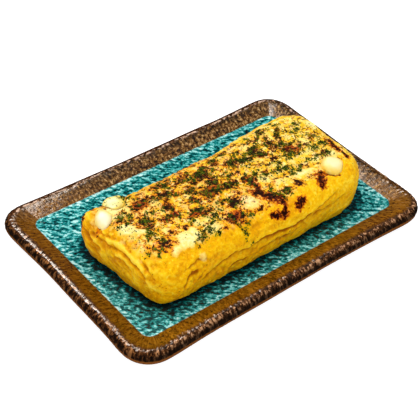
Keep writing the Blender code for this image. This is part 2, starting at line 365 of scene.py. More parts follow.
def make_plate():
    plate = merged_copy("plate", "stoneware_plate")
    dissolve_flat(plate, 1, FLOOR_TOP)
    dissolve_flat(plate, -1, 3.3 * MM)
    finish_with(plate, "SUBSURF", levels=2, render_levels=2)
    cut_finer_round_rim(plate)
    places = points_of(plate)
    normals = normals_of(plate)
    out, around = rim_line(places)
    up = places[:, 2] - RIM_HEIGHT
    angle = np.arctan2(out, up)
    near_rim = 1.0 - smoothstep(1.15, 1.6, np.hypot(out, up) / RIM_RADIUS)
    over = smoothstep(-0.75, -0.15, angle) * (1.0 - smoothstep(1.7, 2.3, angle))
    rim = near_rim * over
    turn = around / rim_length() * 2.0 * math.pi
    radius = rim_length() / (2.0 * math.pi)
    ring = np.stack([radius * np.cos(turn), radius * np.sin(turn), out], axis=1)
    flat_ring = ring * (1.0, 1.0, 0.0)
    wander = unevenness(flat_ring, 14.0 * MM, 1.0) + 0.9 * unevenness(flat_ring, 4.0 * MM, 2.0)
    phase = around / RIB_PITCH * 2.0 * math.pi + 1.6 * wander + 0.5 * angle
    wave = 0.5 + 0.5 * np.cos(phase)
    strength = 0.7 + 0.5 * unevenness(ring, 7.0 * MM, 3.0)
    knobs = unevenness(ring * (1.0, 1.0, 0.7), 2.0 * MM, 6.0)
    near = smoothstep(0.1, -0.85, places[:, 1] / RIM_HALF_WIDTH)
    left = smoothstep(-0.80, -0.97, places[:, 0] / RIM_HALF_LENGTH)
    rib_and_glint_share = np.maximum(0.22 + 0.78 * near, 0.45 * left)
    ribs = rib_and_glint_share * (0.75 * (np.sqrt(wave) - 0.55) * strength + 0.6 * knobs)
    pits = unevenness(places, 1.6 * MM, 4.0)
    ripple = unevenness(ring * (1.0, 1.0, 0.35), 3.2 * MM, 5.0)
    band = smoothstep(-BAND_RUN - 0.5 * MM, -BAND_RUN + 2.5 * MM, out) * (places[:, 2] > FLOOR_TOP - 0.2 * MM)
    relief = rim * (0.42 * ribs + 0.16 * rib_and_glint_share * pits) + band * (1.0 - rim) * 0.12 * ripple
    set_points(plate, places + normals * (relief * MM)[:, None])
    across = np.where(near_rim > 0.5, BAND_RUN + RIM_RADIUS * angle, BAND_RUN + out)
    under = np.where((places[:, 2] < RIM_HEIGHT) & (normals[:, 2] < 0.05) & (out < 3.0 * MM), 1.0, 0.0)
    keep_place(plate, "ring_place", ring)
    keep_number(plate, "across", np.where(under > 0.0, 2.0 * BAND_RUN + 6.0 * MM, across) / MM)
    keep_number(plate, "rib", rim * ribs)
    keep_number(plate, "rim_share", rim)
    plate.data.shade_smooth()
    plate.data.materials.clear()
    plate.data.materials.append(stoneware_glaze())
    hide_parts("plate")
    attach(plate, "root")
    return plate


def teal_floor_colour(mix, place):
    """Glaze that has run and broken: dark flecks and pale crystals in teal."""
    cloud = mix.spread(mix.noise(place, 26.0 * MM, 2.0), 0.3, 0.7)
    streaked = mix.mapped(mix.mapped(place, (1.0, 1.0, 1.0), 0.72), (0.8, 1.45, 1.0))
    blots = mix.spread(mix.noise(streaked, 3.1 * MM, 3.0, 0.66, 0.2), 0.39, 0.61)
    flecks = mix.spread(mix.noise(place, 1.5 * MM, 2.0, 0.6), 0.36, 0.64)
    tone = mix.maths("ADD", mix.maths("MULTIPLY", blots, 0.72), mix.maths("MULTIPLY", flecks, 0.26))
    tone = mix.maths("ADD", tone, mix.maths("MULTIPLY", mix.maths("SUBTRACT", cloud, 0.5), 0.16))
    edge = mix.spread(mix.kept("across"), -4.5, -0.5, 0.0, 0.22)
    tone = mix.maths("ADD", tone, edge)
    # painted shadow: the floor is darkened close round the omelette and along its front
    tone = mix.maths("SUBTRACT", tone, mix.maths("MULTIPLY", painted_shadow_ring(mix, place), 0.42))
    return mix.ramp(
        tone,
        (
            (0.0, paint(0, 28, 32)),
            (0.18, paint(0, 50, 54)),
            (0.34, paint(0, 82, 84)),
            (0.5, paint(10, 124, 122)),
            (0.68, paint(60, 168, 166)),
            (0.84, paint(126, 206, 207)),
            (1.0, paint(196, 232, 228)),
        ),
    )


def painted_shadow_ring(mix, place):
    """1 on the floor close round the omelette and, more weakly, over a broader strip in front of it: painted shadow
    where the omelette shades the glaze.
    """
    centre = (loaf_low + loaf_high) / 2.0
    half = (loaf_high - loaf_low) / 2.0
    corner = 14.0 * MM
    axes = mix.tree.nodes.new("ShaderNodeSeparateXYZ")
    mix.feed(axes.inputs["Vector"], place)
    skew = mix.maths("MULTIPLY", axes.outputs["Y"], mix.spread(axes.outputs["X"], -0.02, -0.08, 0.0, 0.10))
    x = mix.maths("ABSOLUTE", mix.maths("SUBTRACT", mix.maths("ADD", axes.outputs["X"], skew), centre.x))
    y = mix.maths("ABSOLUTE", mix.maths("SUBTRACT", axes.outputs["Y"], centre.y))
    over_x = mix.maths("MAXIMUM", mix.maths("SUBTRACT", x, half.x - corner - 2.6 * MM), 0.0)
    over_y = mix.maths("MAXIMUM", mix.maths("SUBTRACT", y, half.y - corner - 1.8 * MM), 0.0)
    squared = mix.maths("ADD", mix.maths("MULTIPLY", over_x, over_x), mix.maths("MULTIPLY", over_y, over_y))
    apart = mix.maths("SUBTRACT", mix.maths("SQRT", squared), corner)
    ragged = mix.maths("MULTIPLY", mix.maths("SUBTRACT", mix.noise(place, 5.0 * MM, 2.0), 0.5), 4.0 * MM)
    apart = mix.maths("ADD", apart, ragged)
    # broader, weaker painted shadow along the omelette's front
    wide = mix.spread(apart, 7.5 * MM, 1.0 * MM, 0.0, 0.36)
    in_front = mix.spread(axes.outputs["Y"], loaf_low.y + 4.0 * MM, loaf_low.y)
    return mix.maths("MAXIMUM", mix.spread(apart, 1.9 * MM, 0.2 * MM), mix.maths("MULTIPLY", wide, in_front))


def band_colour(mix, place, ring, across):
    """Amber glaze, smooth at the front and left and speckled at the back and right, where its pale speckles are partly
    painted glints.
    """
    streak = mix.spread(mix.noise(mix.mapped(ring, (1.0, 1.0, 0.4)), 1.3 * MM, 3.0, 0.65), 0.3, 0.7)
    amber = mix.ramp(streak, ((0.1, paint(60, 28, 2)), (0.45, paint(122, 74, 8)), (0.85, paint(156, 102, 22))))
    grit = mix.spread(mix.noise(mix.mapped(ring, (1.0, 1.0, 0.9)), 1.8 * MM, 3.0, 0.75), 0.3, 0.7)
    # pale speckles at the back and right: partly the glaze's own tan specks, partly painted glints
    mottled_with_glints = mix.ramp(
        grit,
        ((0.14, paint(6, 4, 1)), (0.4, paint(74, 46, 14)), (0.62, paint(124, 82, 30)), (0.88, paint(200, 160, 100))),
    )
    axes = mix.tree.nodes.new("ShaderNodeSeparateXYZ")
    mix.feed(axes.inputs["Vector"], place)
    backward = mix.maths("ADD", axes.outputs["Y"], mix.maths("MULTIPLY", axes.outputs["X"], 0.6))
    back = mix.spread(backward, -0.015, 0.035)
    left = mix.spread(axes.outputs["X"], -0.085, -0.100, 0.0, 0.35)
    colour = mix.blend(back, mix.blend(left, amber, paint(70, 34, 2)), mottled_with_glints)
    specks = mix.noise(place, 1.3 * MM, 1.0)
    colour = mix.blend(mix.spread(specks, 0.62, 0.68, 0.0, 0.85), colour, paint(22, 10, 3))
    colour = mix.blend(mix.spread(across, 8.0, 10.0, 0.0, 0.5), colour, paint(66, 32, 8))
    deepened = mix.maths("MULTIPLY", mix.spread(across, 5.0, 7.5), back)
    clusters = mix.maths("MULTIPLY", deepened, mix.spread(mix.noise(ring, 2.6 * MM, 3.0, 0.7), 0.42, 0.58))
    return mix.blend(mix.maths("MULTIPLY", clusters, 0.8), colour, paint(20, 16, 6))


def rim_colour(mix, place, ring):
    """Iron glaze: black blotches in orange brown, with painted light over it: pale highlight dashes along the top of
    the rim at the back, a lighter band just outside its top, painted shade lower down the outer side, and an amber line
    at the bottom edge that is partly thinner glaze and partly painted reflected light.
    """
    across = mix.kept("across")
    blotch = mix.spread(mix.noise(mix.mapped(ring, (1.0, 1.0, 0.8)), 1.9 * MM, 3.0, 0.75), 0.34, 0.66)
    # painted highlight: a lighter band about 20 degrees out from the top of the rim, where glints fall; painted shade:
    # darker further down the outer side
    blotch = mix.maths("ADD", blotch, mix.spread(across, 10.4, 11.9, -0.16, 0.08))
    blotch = mix.maths("ADD", blotch, mix.spread(across, 12.6, 14.5, 0.0, -0.08))
    iron = mix.ramp(
        blotch,
        ((0.18, paint(3, 2, 1)), (0.42, paint(22, 11, 4)), (0.62, paint(90, 48, 16)), (0.9, paint(214, 162, 118))),
    )
    rib = mix.spread(mix.kept("rib"), -0.3, 0.3)
    iron = mix.blend(mix.maths("MULTIPLY", rib, 0.18), iron, paint(150, 100, 60))
    axes = mix.tree.nodes.new("ShaderNodeSeparateXYZ")
    mix.feed(axes.inputs["Vector"], place)
    rust = mix.ramp(blotch, ((0.3, paint(8, 4, 2)), (0.6, paint(72, 36, 10)), (0.92, paint(176, 112, 54))))
    at_left = mix.spread(axes.outputs["X"], -0.084, -0.102, 0.0, 0.85)
    iron = mix.blend(mix.maths("MULTIPLY", at_left, mix.spread(across, 11.2, 12.6)), iron, rust)
    # painted shade: the lower, downward-facing outer side of the rim is darkened, less so on the left
    darker_below = mix.maths(
        "MULTIPLY", mix.spread(across, 12.0, 15.0, 0.0, 0.9), mix.spread(axes.outputs["X"], -0.104, -0.100, 0.72, 1.0)
    )
    deepened = mix.blend(darker_below, iron, paint(16, 8, 4))
    # a lighter amber line at the lowest outer edge: partly thinner glaze, partly painted light reflected from the table
    iron = mix.blend(mix.spread(across, 17.0, 17.7, 0.0, 0.8), deepened, paint(128, 74, 26))
    backward = mix.maths("ADD", axes.outputs["Y"], mix.maths("MULTIPLY", axes.outputs["X"], 0.3))
    back = mix.spread(backward, 0.0, 0.035)
    smooth = mix.maths("MULTIPLY", mix.spread(across, 10.6, 11.4), mix.spread(across, 14.0, 12.6))
    iron = mix.blend(mix.maths("MULTIPLY", smooth, back), iron, paint(66, 34, 12))
    # painted highlight: pale broken dashes just outside the top of the rim along the back, where glints fall
    dashes = mix.spread(mix.noise(mix.mapped(ring, (0.6, 0.6, 1.0)), 1.8 * MM, 2.0, 0.65), 0.49, 0.58)
    rib_and_glint_share = mix.maths("MULTIPLY", mix.spread(across, 8.2, 9.2), mix.spread(across, 11.2, 10.4))
    rib_and_glint_share = mix.maths("MULTIPLY", mix.maths("MULTIPLY", rib_and_glint_share, dashes), back)
    return mix.blend(mix.maths("MULTIPLY", rib_and_glint_share, 0.85), iron, paint(236, 200, 172))


def stoneware_glaze():
    mix = Recipe("broken teal and amber glaze")
    place = mix.object_place()
    ring = mix.kept("ring_place", "Vector")
    across = mix.kept("across")
    rough_edge = mix.maths("MULTIPLY", mix.maths("SUBTRACT", mix.noise(place, 2.5 * MM, 2.0), 0.5), 0.7)
    line = mix.maths("ADD", across, rough_edge)
    on_band = mix.spread(line, -0.15, 0.35)
    axes = mix.tree.nodes.new("ShaderNodeSeparateXYZ")
    mix.feed(axes.inputs["Vector"], place)
    early = mix.spread(axes.outputs["Y"], -0.02, 0.03)
    on_rim = mix.spread(mix.maths("ADD", line, early), 9.6, 11.2)
    underneath = mix.spread(across, 24.0, 25.0)
    colour = mix.blend(on_band, teal_floor_colour(mix, place), band_colour(mix, place, ring, across))
    colour = mix.blend(on_rim, colour, rim_colour(mix, place, ring))
    plain = mix.ramp(mix.noise(place, 6.0 * MM, 3.0), ((0.3, paint(52, 32, 18)), (0.7, paint(92, 62, 38))))
    colour = mix.blend(underneath, colour, plain)
    dimples = mix.noise(place, 1.4 * MM, 2.0)
    waves = mix.noise(place, 5.0 * MM, 2.0)
    normal = mix.bump(waves, 0.12 * MM, 0.5, mix.bump(dimples, 0.22 * MM, 0.5))
    mix.set(Base_Color=colour, Normal=normal)
    mix.set(Roughness=mix.spread(mix.noise(place, 3.0 * MM, 2.0), 0.3, 0.7, 0.10, 0.24))
    mix.shader.inputs["Specular IOR Level"].default_value = 0.34
    return mix.material


# ---------------------------------------------------------------- omelette

# Lines on the skin: points, half width, and how far the line stands out (less than 0: a groove)
# and how far the skin above it does.
SEAM = (
    (-51, -48, 19), (-47.5, -48, 21.5), (-42, -48, 24), (-37.5, -48, 24.3), (-31.5, -48, 27), (-28, -48, 27.8),
    (-23, -48, 26.8), (-16, -48, 26), (-10, -48, 27), (-5.5, -48, 28.4), (0, -48, 27.4), (7.5, -48, 26),
    (14.5, -48, 25.2), (24, -48, 26), (32, -48, 28), (41.5, -47.8, 30.2), (52.5, -47, 32.8), (60, -44.5, 36),
)
FRONT_FOLDS = (
    (SEAM, 0.85, -1.9, 0.8),
    (((33, -48, 26), (37, -48, 25.5), (46, -48, 25.3), (55.5, -47.5, 26.8), (64, -47.3, 29.6)), 1.2, -0.7, 0.4),
    (((-32, -48, 18.3), (-29, -48, 19.3), (-25, -48, 20.3), (-21, -48, 19.9), (-15, -48, 19)), 0.75, -1.0, 0.5),
    (((-52, -48, 28.4), (-55, -48, 29.2), (-58.5, -48, 30)), 1.1, -1.5, 0.4),
    (((-58.4, -48, 30), (-60.7, -48.4, 26.5), (-62, -48.5, 24.5), (-63.5, -48.5, 22)), 0.85, -1.2, 0.3),
    (((-57.5, -48, 28), (-59.5, -48.4, 24.5), (-61.5, -48.5, 21)), 0.8, 0.7, 0.0),
    (((-61, -46.5, 33), (-55.5, -46, 34.2), (-51, -45.5, 34.6), (-46.5, -46, 33.2), (-42, -47, 31.5)), 0.9, -0.7, 0.5),
    (((-54, -48, 22), (-50, -48, 24.5), (-46, -48, 27.5)), 1.0, -0.6, 0.2),
    (((-10, -48.3, 21), (0, -48.3, 21.6), (12, -48.3, 20.2), (24, -48.3, 20.8)), 1.3, -0.45, 0.3),
)
LEFT_FOLDS = (
    (
        ((-83.3, 0, 33), (-82.3, -4, 34.7), (-81.2, -8, 36.1), (-80.2, -13, 36.6), (-80, -18.5, 36),
         (-80.3, -22.5, 34.9), (-79.9, -28.5, 34.2), (-79.8, -33, 33), (-79.4, -36.2, 31.8)),
        1.1, 1.5, 0.0,
    ),
    (((-80.3, -35.5, 29.2), (-78.9, -38.4, 27), (-77.5, -39.5, 24.4), (-76.5, -41, 21.5)), 0.9, 1.0, 0.0),
    (
        ((-84, -1, 31), (-83.2, -7, 32.7), (-82.5, -11, 33.6), (-81.3, -16, 34.7), (-81.3, -22, 33.4),
         (-80.8, -28, 32.6), (-80.6, -32.5, 31), (-80.4, -36, 27.5), (-79, -38, 23)),
        1.0, -1.5, 0.0,
    ),
    (((-82.2, 7, 36), (-82, 1, 35.6), (-81.2, -4, 36.6), (-80, -8, 37.6)), 0.8, -0.8, 0.3),
    (((-79, -9, 38.4), (-78.7, -14.5, 38.2), (-78.6, -18.5, 37.6), (-78.8, -22, 36.6)), 1.0, -1.2, 0.3),
    (((-78.2, -27, 36.4), (-78.4, -32, 35.1), (-78.5, -35.5, 33.8), (-78, -38.5, 32), (-77, -41.5, 29)), 0.8, -0.6, 0.3),
    (((-83, -11, 29.3), (-82, -17, 29.7), (-81.6, -21, 28.5), (-81, -26, 26.5)), 0.85, -0.8, 0.5),
    (((-86, 12, 30.2), (-85.6, 7, 28.8), (-85.2, 3.5, 27.9), (-84.7, -1, 26.7)), 0.8, -0.9, 0.6),
    (((-84.4, 9, 34), (-83.9, 3.4, 32.8), (-83.8, -1, 32)), 0.8, -0.9, 0.6),
    (((-86, 14, 25.5), (-85.6, 8, 24), (-85, 2, 23.4)), 0.9, -0.5, 0.3),
    (((-77.8, -20.5, 37.8), (-75, -22, 39.5), (-72, -22, 40.6)), 0.9, -0.8, 0.3),
    (((-76, -40, 33), (-74, -43, 30), (-71.5, -45.5, 26), (-70, -46.8, 22)), 0.9, -0.5, 0.3),
)
# Places where the skin is pressed in: centre, reach and depth.
DENTS = (
    (-66, -48, 10, 3.0, 1.6), (-83, -28, 10, 4.0, 1.4), (-30, -48.5, 10, 6.0, 0.8), (12, -48.4, 20, 1.4, 1.0),
    (82, -38, 10, 11.0, 2.4), (-86, 12, 33, 6.0, 0.9), (64, -48, 10, 6.0, 0.8), (-84, -8, 10, 3.0, 1.0),
    (-84, 19, 38.5, 5.0, -1.3), (-47, -48, 10, 3.0, 1.0),
)
DOLLOPS = ("mayonnaise_left", "mayonnaise_back", "mayonnaise_right")

# Browned spots on the top: place, half sizes and turn in degrees, then how dark.
BROWNED = (
    (-55, 4, 6, 5, 0, 1.0), (-37, 3.5, 7, 1.8, -22, 0.9), (-37, 13, 5, 3, 0, 0.8), (-30, 14, 3, 2, 0, 0.6),
    (-61, -4, 3, 3, 0, 0.7), (-61, -9, 4, 3, 0, 0.9), (-43.5, -7.5, 4, 2.2, 30, 0.9), (-46, -14, 7.5, 2.6, 5, 1.0),
    (-52, -15, 3, 2.4, 0, 0.8), (-34, -21.5, 7, 2.2, -5, 0.95), (-31, -19, 5, 3, 0, 0.9), (-9, 6, 5, 3.4, 0, 0.85),
    (-16, 2, 4, 2, 0, 0.7), (-15, -10, 6.4, 4.4, 0, 1.0), (-8, -4, 4, 3, 0, 0.85), (-3, -12, 5, 3.2, 0, 0.9),
    (-17, -35, 6.4, 5.4, 0, 1.0), (-10, -26, 4, 3, 0, 0.85), (9, 3, 3.5, 3, 0, 0.8), (20, 1, 8, 2.6, 0, 0.9),
    (30, 4, 4.4, 4.4, 0, 0.95), (33, -1, 2.6, 2.6, 0, 1.0), (36, -8, 3.8, 2.8, 0, 0.85), (43, 2, 4.4, 5, 0, 0.85),
    (47, -1, 3, 3, 0, 0.75), (50, -7, 8, 5, 0, 1.0), (10, -13, 4, 2.6, 0, 0.9), (24, -34, 4.4, 2.6, 0, 0.9),
    (33, -34, 3.4, 3.6, 0, 0.85), (73, -20, 2, 7, 10, 1.0), (74, -31, 1.6, 2.4, 0, 0.9), (63, -22, 4.4, 3, 0, 0.85),
    (71, -3, 3, 3, 0, 0.75), (23, -15, 2.4, 2, 0, 0.7), (66, 14, 3, 2, 0, 0.6), (14, 15, 4, 2.5, 0, 0.7),
    (23, 10, 2.5, 2, 0, 0.6), (40, 14, 10, 2.4, 8, 0.7), (55, 22, 3, 2, 0, 0.6), (48, -24.5, 1.8, 3.5, 0, 0.7),
    (-73, -1, 2.2, 2, 0, 0.7), (-68, 5, 3, 2, 0, 0.5), (-63, -30, 6, 5, 0, 0.75), (-59, -27, 2.4, 2, 0, 0.8),
    (-77, 18, 1.6, 1.6, 0, 0.9), (-73, 14, 2.2, 1.5, 0, 0.7), (-83.5, 19, 2.4, 2.0, 40, 1.0), (-82, 4.5, 2, 2, 0, 0.5),
    (58, -10, 4, 2, 0, 0.7), (-24, 8, 4, 2, 0, 0.6), (-50, 12, 4, 2, 0, 0.6), (2, 8, 4, 2, 0, 0.6),
    (22, -24, 3, 2, 0, 0.5), (-25, -12, 4, 2, 0, 0.6), (26, -8, 4, 2.4, 0, 0.6), (8, -5, 4, 2, 0, 0.6),
)
# Lines of char: points and half width.
CHARRED = (
    (
        ((10, -14, 41), (11, -20, 40.5), (8.5, -25, 40.9), (7, -28, 40.9), (10.5, -33, 40.4), (14.5, -36, 39.5),
         (15.5, -40, 38.3), (14, -43.7, 36), (11.5, -45.7, 34.2), (8, -44.2, 36), (4.5, -43.5, 36.8)),
        1.9,
    ),
    (((6, -26.5, 41), (9.5, -31, 40.6), (13, -34.5, 40)), 3.4),
    (((12, -45, 35), (7, -44, 36.3)), 2.4),
    (((26.5, -43.5, 37), (25, -44.5, 35.8), (24, -45, 35)), 2.5),
    (((49.5, -34.5, 40.1), (48, -36.5, 39.8), (46, -39, 39.3), (44.5, -41, 38.6)), 2.7),
    (((50, -34, 40.2), (54.5, -37.5, 39.4), (59, -40.5, 38)), 1.0),
    (((-17, -11, 41), (-12, -9, 41.2)), 1.8),
    (((30.5, -1, 41), (34, -1.5, 41)), 1.7),
    (((46, -6, 41), (52, -8, 41)), 1.8),
    (((-57, 5, 41), (-53, 3, 41)), 1.7),
    (((-50, -14.5, 41), (-42, -13.5, 41)), 1.1),
    (((-19, -36, 40.6), (-15, -33.5, 41)), 1.8),
    (((76, -13, 40.6), (74.3, -19, 41), (72.6, -25, 41.3)), 1.7),
    (((74.2, -28.4, 41), (73.4, -33, 40.6)), 1.3),
    (((-39, -21, 41), (-30, -21.5, 41)), 0.9),
)
# Thin lobes of mayonnaise: place, half sizes, turn and height.
LOBES = (
    (-72.5, -8.5, 4.0, 5.2, 15, 1.3), (-67.5, -14.5, 4.6, 2.8, -42, 1.1), (-51, -33.4, 5.4, 4.6, 30, 1.5),
    (-60, -37, 3.8, 2.6, 20, 1.0), (-47.7, -44.4, 2.2, 1.6, 0, 0.7), (-44, -32, 3, 5.6, 0, 1.0),
    (-38, -27, 3.2, 3.2, 0, 0.8), (-32, -28.5, 3.4, 2.8, 0, 0.8), (-25.5, -27, 3, 2.4, 0, 0.7),
    (-33, -35, 5.6, 3.4, 0, 0.9), (-55, -6.5, 4, 2.0, -35, 0.6), (-49, 0, 4.4, 2.8, 0, 0.7), (-3, -30, 4.4, 6.4, 10, 1.2),
    (18, -20, 3, 5.4, 25, 1.0), (23, -26, 3, 2.4, 0, 0.9), (40, -28, 7.4, 3.4, 0, 1.0), (60.5, -8, 2.6, 6, 0, 0.8),
    (57, -16, 4.6, 2.8, 0, 0.8), (77, 4, 3.4, 4.6, 0, 1.2), (56, -23.5, 4.6, 2.8, 0, 1.0), (-20, -21, 3.6, 2.8, 0, 0.7),
    (-35, -13, 3.6, 2.6, 0, 0.6), (-67, 11, 8, 5.0, 20, 1.3), (-70, 4, 5, 4, 0, 1.0), (30, -14, 5, 2.4, 0, 0.5),
    (0, -20, 4, 2.4, 0, 0.5), (-26, 3, 4, 2.2, 0, 0.4), (42, -17, 5, 2.4, 0, 0.5), (68, -12, 3, 4, 0, 0.5),
    (-71, 8.5, 2.6, 6.5, 8, 1.5), (54, -30, 4, 3, 0, 0.7), (66, -25.5, 4.4, 4.4, 0, 1.0), (-62, 6, 3, 6, -20, 0.8), (50, -32, 4, 2, 0, 0.7),
)


def distance_to_line(places, line):
    """For each place: distance to the nearest point of the line, how far above it and how far along."""
    corners = np.array(line, float) * MM
    best = np.full(len(places), 1.0)
    above = np.zeros(len(places))
    along = np.zeros(len(places))
    for index, (start, end) in enumerate(zip(corners, corners[1:])):
        run = end - start
        t = np.clip((places - start) @ run / (run @ run), 0.0, 1.0)
        apart = places - (start + t[:, None] * run)
        far = np.linalg.norm(apart, axis=1)
        closer = far < best
        best = np.where(closer, far, best)
        above = np.where(closer, apart[:, 2], above)
        along = np.where(closer, (index + t) / (len(corners) - 1), along)
    return best, above, along


def fold(places, line, width, stand, lip):
    """A ridge or a groove along the line, with the skin above it standing out over it."""
    far, above, along = distance_to_line(places, line)
    ends = smoothstep(0.0, 0.12, along) * (1.0 - smoothstep(0.85, 1.0, along))
    bead = stand * np.exp(-((far / (width * MM)) ** 2))
    upper = smoothstep(0.0, 1.1 * width * MM, above) * np.exp(-((far / (4.0 * MM)) ** 2))
    lower = smoothstep(0.0, 1.1 * width * MM, -above) * np.exp(-((far / (3.0 * MM)) ** 2))
    return ends * (lip * (upper - 0.5 * lower) + bead)


def pressed_in(places):
    """How far the dents press the skin in."""
    depth = np.zeros(len(places))
    for x, y, z, reach, deep in DENTS:
        far = np.linalg.norm(places / MM - (x, y, z), axis=1) / reach
        depth += deep * np.exp(-(far**2))
    return depth


def wrinkles(places, normals):
    """Fine wrinkles: slanting down to the front on the left end, level along the front."""
    y, z = places[:, 1], places[:, 2]
    along = 0.93 * y + 0.36 * z
    across = -0.36 * y + 0.93 * z
    slanted = np.stack([places[:, 0] * 0.3, along * 0.28, across], axis=1)
    level = np.stack([places[:, 0] * 0.22, y * 0.3, z], axis=1)
    left = smoothstep(0.25, 0.75, -normals[:, 0]) * smoothstep(15.0, 22.0, z / MM)
    front = smoothstep(0.35, 0.8, -normals[:, 1])
    creased = 1.0 - 2.2 * np.abs(unevenness(slanted, 3.0 * MM, 12.0))
    finer = 1.0 - 2.2 * np.abs(unevenness(slanted, 1.7 * MM, 21.0))
    rolled = unevenness(level, 3.4 * MM, 13.0) + 0.5 * unevenness(level, 1.7 * MM, 14.0)
    return left * (0.62 * creased + 0.30 * finer) + front * 0.34 * rolled


def charred_lines(places):
    """How close each place is to the lines of char: 1 on a line, 0 at twice its half width."""
    cover = np.zeros(len(places))
    for line, half_width in CHARRED:
        far, _, _ = distance_to_line(places, line)
        cover = np.maximum(cover, 1.0 - smoothstep(0.2, 1.9, far / (half_width * MM)))
    return cover


def covered(places, spots, soft):
    """How strongly each place is covered by the spots, each fading over its soft edge."""
    cover = np.zeros(len(places))
    for x, y, half_x, half_y, turn, strength in spots:
        angle = math.radians(turn)
        dx = places[:, 0] / MM - x
        dy = places[:, 1] / MM - y
        u = (dx * math.cos(angle) + dy * math.sin(angle)) / half_x
        v = (-dx * math.sin(angle) + dy * math.cos(angle)) / half_y
        cover = np.maximum(cover, strength * (1.0 - smoothstep(1.0 - soft, 1.0 + soft, np.hypot(u, v))))
    return cover


def wandered(places, size, reach, seed):
    """The places moved about in plan, so that what is painted there has uneven outlines."""
    moved = places.copy()
    moved[:, 0] += reach * unevenness(places, size, seed)
    moved[:, 1] += reach * unevenness(places, size, seed + 11.0)
    return moved


def sprinkled_share(places, top):
    """How much crust and seaweed lies about here: most of the top, but not its front and left edges."""
    x = places[:, 0] / MM
    y = places[:, 1] / MM + 4.0 * unevenness(places, 9.0 * MM, 18.0)
    front = smoothstep(-41.0, -34.0, y - 9.0 * smoothstep(-55.0, -75.0, x) - 4.0 * smoothstep(15.0, 40.0, x))
    left = smoothstep(-79.0, -72.0, x + 3.0 * unevenness(places, 7.0 * MM, 19.0))
    return top * front * left * (1.0 - 0.7 * smoothstep(19.0, 25.0, y))


